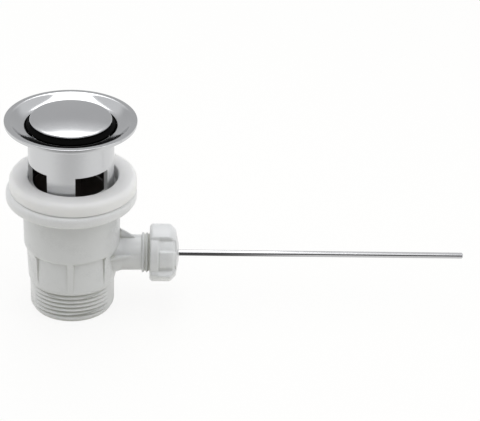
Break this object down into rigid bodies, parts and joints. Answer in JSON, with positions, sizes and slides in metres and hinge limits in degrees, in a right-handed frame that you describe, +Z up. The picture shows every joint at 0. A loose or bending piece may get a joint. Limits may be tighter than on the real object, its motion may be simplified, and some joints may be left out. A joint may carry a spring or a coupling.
{
  "type": "pop up basin waste",
  "caption": "Pop up basin waste: dished chrome flange with slotted overflow tube, lever lifted plug, thick white gasket and ribbed white body with a side neck, union nut and threaded outlet.",
  "frame": {"origin": "centre of the outlet's lower end, on the drain axis", "axes": "+Z up along the drain axis, +X along the side neck and the lever rod, +Y to the back as the picture shows it"},
  "size_m": [0.2277, 0.0634, 0.1042],
  "materials": {
    "white_plastic": "moulded, lightly glossy",
    "white_gasket": "soft, matt",
    "chrome": "bright plated",
    "seat_plastic": "smooth",
    "rod_steel": "drawn, bright",
    "black_rubber": "matt",
    "black_plastic": "moulded",
    "brass": "turned"
  },
  "bodies": {
    "housing": {"waste_body": "white_plastic", "basin_gasket": "white_gasket", "flange_tube": "chrome", "ball_seat_inner": "seat_plastic", "ball_seat_outer": "seat_plastic", "union_nut": "white_plastic"},
    "lever": {"pivot_ball": "seat_plastic", "pivot_rod": "rod_steel"},
    "plug": {"plug_cap": "chrome", "plug_seal": "black_rubber", "seal_washer": "black_plastic", "plug_stem": "black_plastic", "height_screw": "brass", "lock_nut": "brass"}
  },
  "joints": [
    {"name": "lever_tilt", "type": "hinge", "parent": "housing", "child": "lever", "pos_m": [0.039, 0, 0.0283], "axis": [0, 1, 0], "range_deg": [-2, 8.8]},
    {"name": "plug_lift", "type": "slide", "parent": "housing", "child": "plug", "axis": [0, 0, 1], "range_m": [-0.0014, 0.006]}
  ],
  "couplings": [
    {"joint": "plug_lift", "follows": "lever_tilt", "m_per_rad": 0.039}
  ]
}
